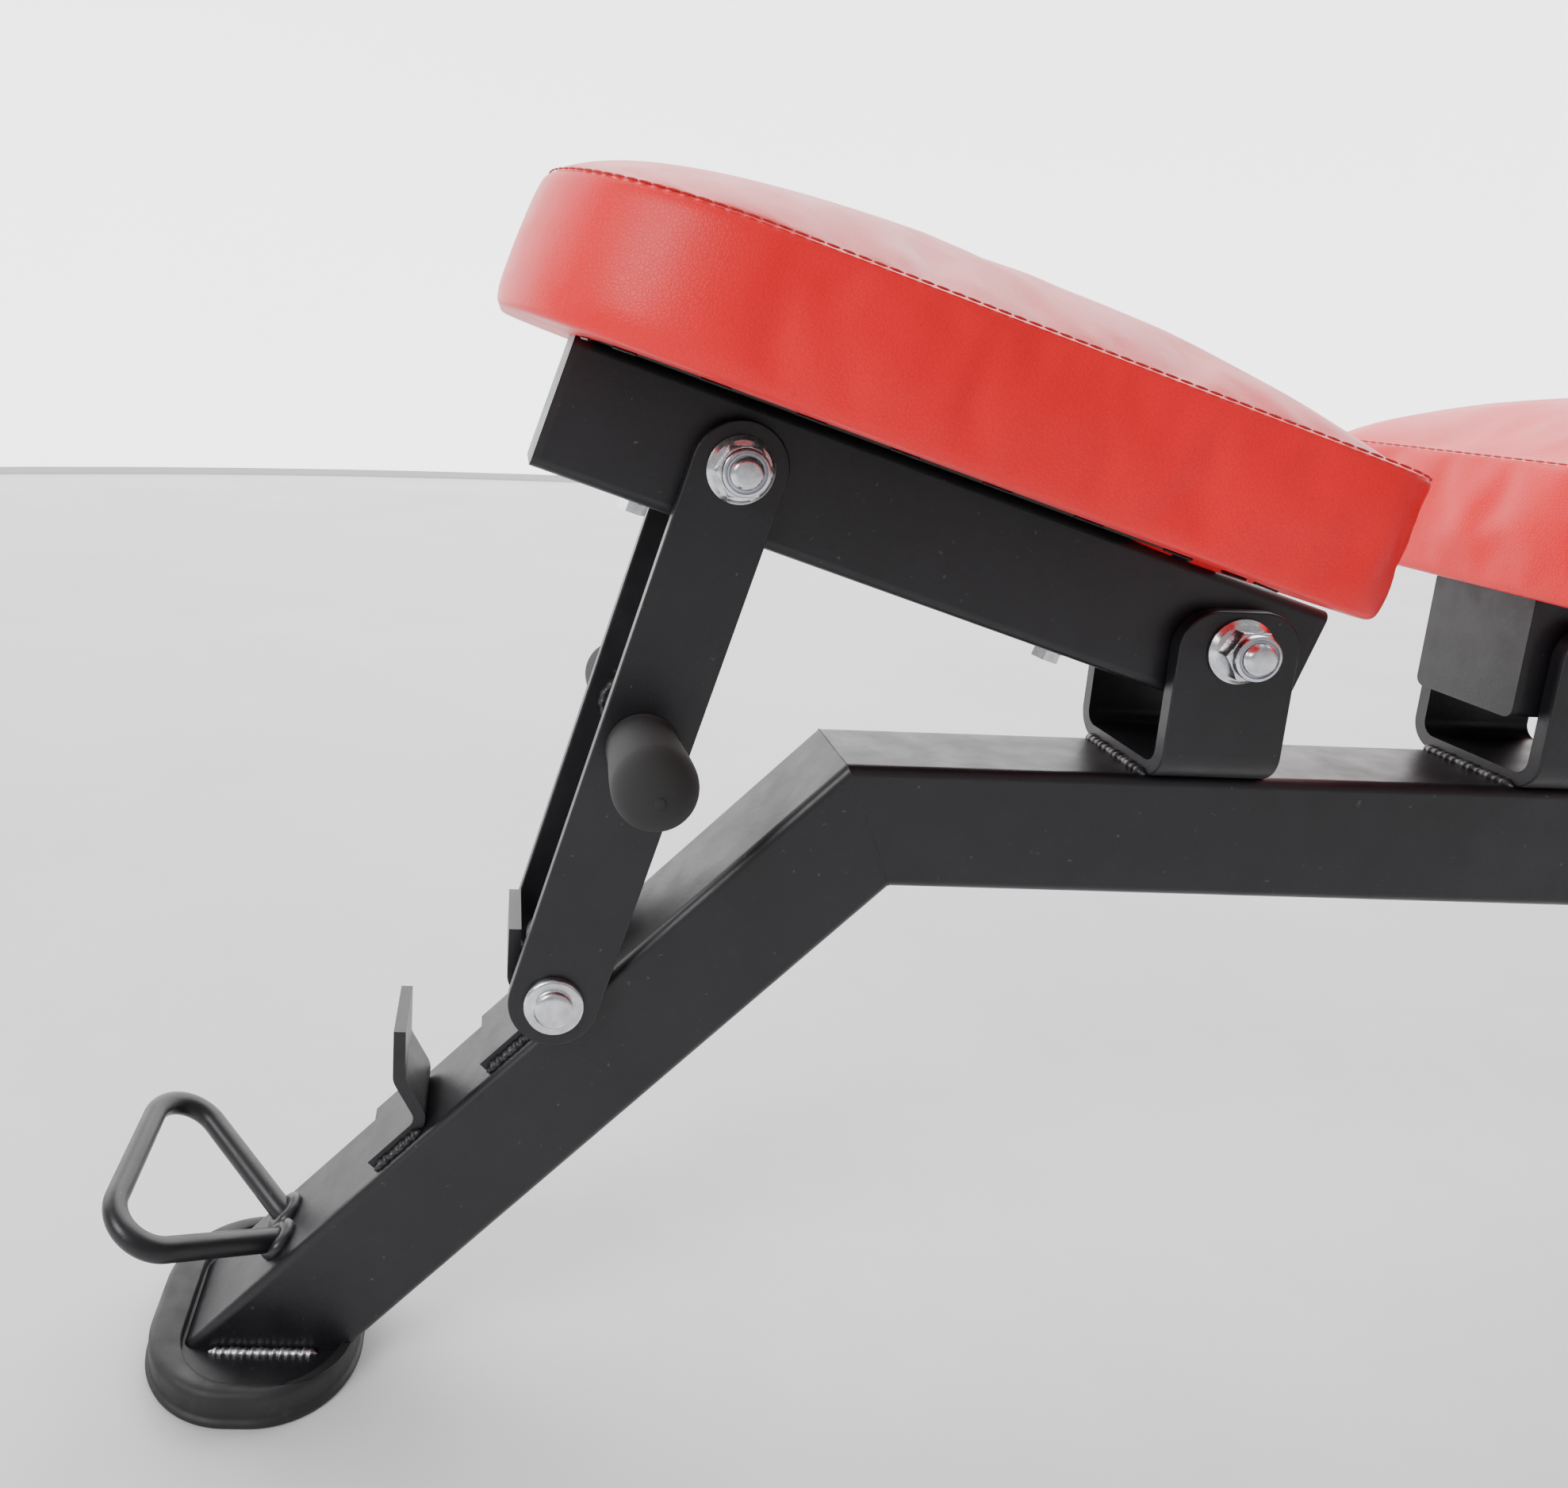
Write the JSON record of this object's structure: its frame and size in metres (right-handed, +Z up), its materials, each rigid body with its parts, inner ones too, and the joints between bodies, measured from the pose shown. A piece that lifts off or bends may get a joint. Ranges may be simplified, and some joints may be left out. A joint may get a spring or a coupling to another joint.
{
  "type": "adjustable weight bench",
  "caption": "Adjustable weight bench: black square-tube frame, hinged red seat and backrest pads, each propped by a strut on hook plates, with a lift handle and transport wheels.",
  "frame": {"origin": "on the floor under the middle of the front foot, in the bench's mid plane", "axes": "+X from the front foot towards the rear wheels, +Y to the bench's left, +Z up"},
  "size_m": [1.4547, 0.512, 0.5049],
  "materials": {
    "black_paint": "satin black powder coat",
    "zinc": "bright zinc plated",
    "plain_steel": "plain turned steel",
    "black_plastic": "moulded black nylon",
    "wheel_plastic": "moulded dark grey nylon",
    "foot_rubber": "moulded matt rubber",
    "grip_rubber": "smooth satin rubber",
    "tyre_rubber": "matt",
    "vinyl_red": "semi-gloss upholstery vinyl with fine grain",
    "plywood": "dark stained plywood"
  },
  "bodies": {
    "frame": {"main_beam": "black_paint", "front_leg": "black_paint", "rear_leg": "black_paint", "front_foot_plate": "black_paint", "front_foot_boot": "foot_rubber", "lift_handle": "black_paint", "seat_hooks": "black_paint", "back_hooks": "black_paint", "seat_bracket": "black_paint", "back_bracket": "black_paint", "seat_pivot_bolt": "zinc", "seat_pivot_nut": "zinc", "back_pivot_bolt": "zinc", "back_pivot_nut": "zinc", "rear_foot_plate": "black_paint", "rear_cross_tube": "black_paint", "rear_foot_bolts": "zinc", "rear_foot_nuts": "zinc", "rear_shoes": "foot_rubber", "wheel_ears": "black_paint", "axle_bolts": "zinc", "axle_nuts": "zinc"},
    "seat": {"seat_tube": "black_paint", "seat_sleeves": "plain_steel", "seat_bushes": "black_plastic", "seat_tube_caps": "black_plastic", "seat_board": "plywood", "seat_cushion": "vinyl_red", "seat_pad_bolts": "zinc"},
    "seat_strut": {"seat_strut_left_plate": "black_paint", "seat_strut_right_plate": "black_paint", "seat_strut_handle": "black_paint", "seat_strut_grips": "grip_rubber", "seat_strut_pin": "zinc", "seat_strut_spacer": "plain_steel", "seat_strut_bolt": "zinc", "seat_strut_nut": "zinc"},
    "backrest": {"back_tube": "black_paint", "back_sleeves": "plain_steel", "back_bushes": "black_plastic", "back_tube_caps": "black_plastic", "back_board": "plywood", "back_cushion": "vinyl_red", "back_pad_bolts": "zinc"},
    "backrest_strut": {"back_strut_left_plate": "black_paint", "back_strut_right_plate": "black_paint", "back_strut_handle": "black_paint", "back_strut_grips": "grip_rubber", "back_strut_pin": "zinc", "back_strut_spacer": "plain_steel", "back_strut_bolt": "zinc", "back_strut_nut": "zinc"},
    "wheel_left": {"wheel_left_hub": "wheel_plastic", "wheel_left_tyre": "tyre_rubber"},
    "wheel_right": {"wheel_right_hub": "wheel_plastic", "wheel_right_tyre": "tyre_rubber"}
  },
  "joints": [
    {"name": "seat_hinge", "type": "hinge", "parent": "frame", "child": "seat", "pos_m": [0.37213, 0, 0.3335], "axis": [0, 1, 0], "range_deg": [0, 25.7]},
    {"name": "seat_strut_hinge", "type": "hinge", "parent": "seat", "child": "seat_strut", "pos_m": [0.17898, 0, 0.39366], "axis": [0, 1, 0], "range_deg": [-18.2, 0]},
    {"name": "backrest_hinge", "type": "hinge", "parent": "frame", "child": "backrest", "pos_m": [0.52063, 0, 0.3335], "axis": [0, -1, 0], "range_deg": [0, 80]},
    {"name": "backrest_strut_hinge", "type": "hinge", "parent": "backrest", "child": "backrest_strut", "pos_m": [0.78063, 0, 0.3335], "axis": [0, -1, 0], "range_deg": [-128.5, 0]},
    {"name": "wheel_left_spin", "type": "hinge", "parent": "frame", "child": "wheel_left", "pos_m": [1.35056, 0.15, 0.051], "axis": [0, 1, 0], "continuous": true},
    {"name": "wheel_right_spin", "type": "hinge", "parent": "frame", "child": "wheel_right", "pos_m": [1.35056, -0.15, 0.051], "axis": [0, 1, 0], "continuous": true}
  ],
  "couplings": [
    {"joint": "seat_strut_hinge", "follows": "seat_hinge", "ratio": -0.7},
    {"joint": "backrest_strut_hinge", "follows": "backrest_hinge", "ratio": -1.6}
  ]
}
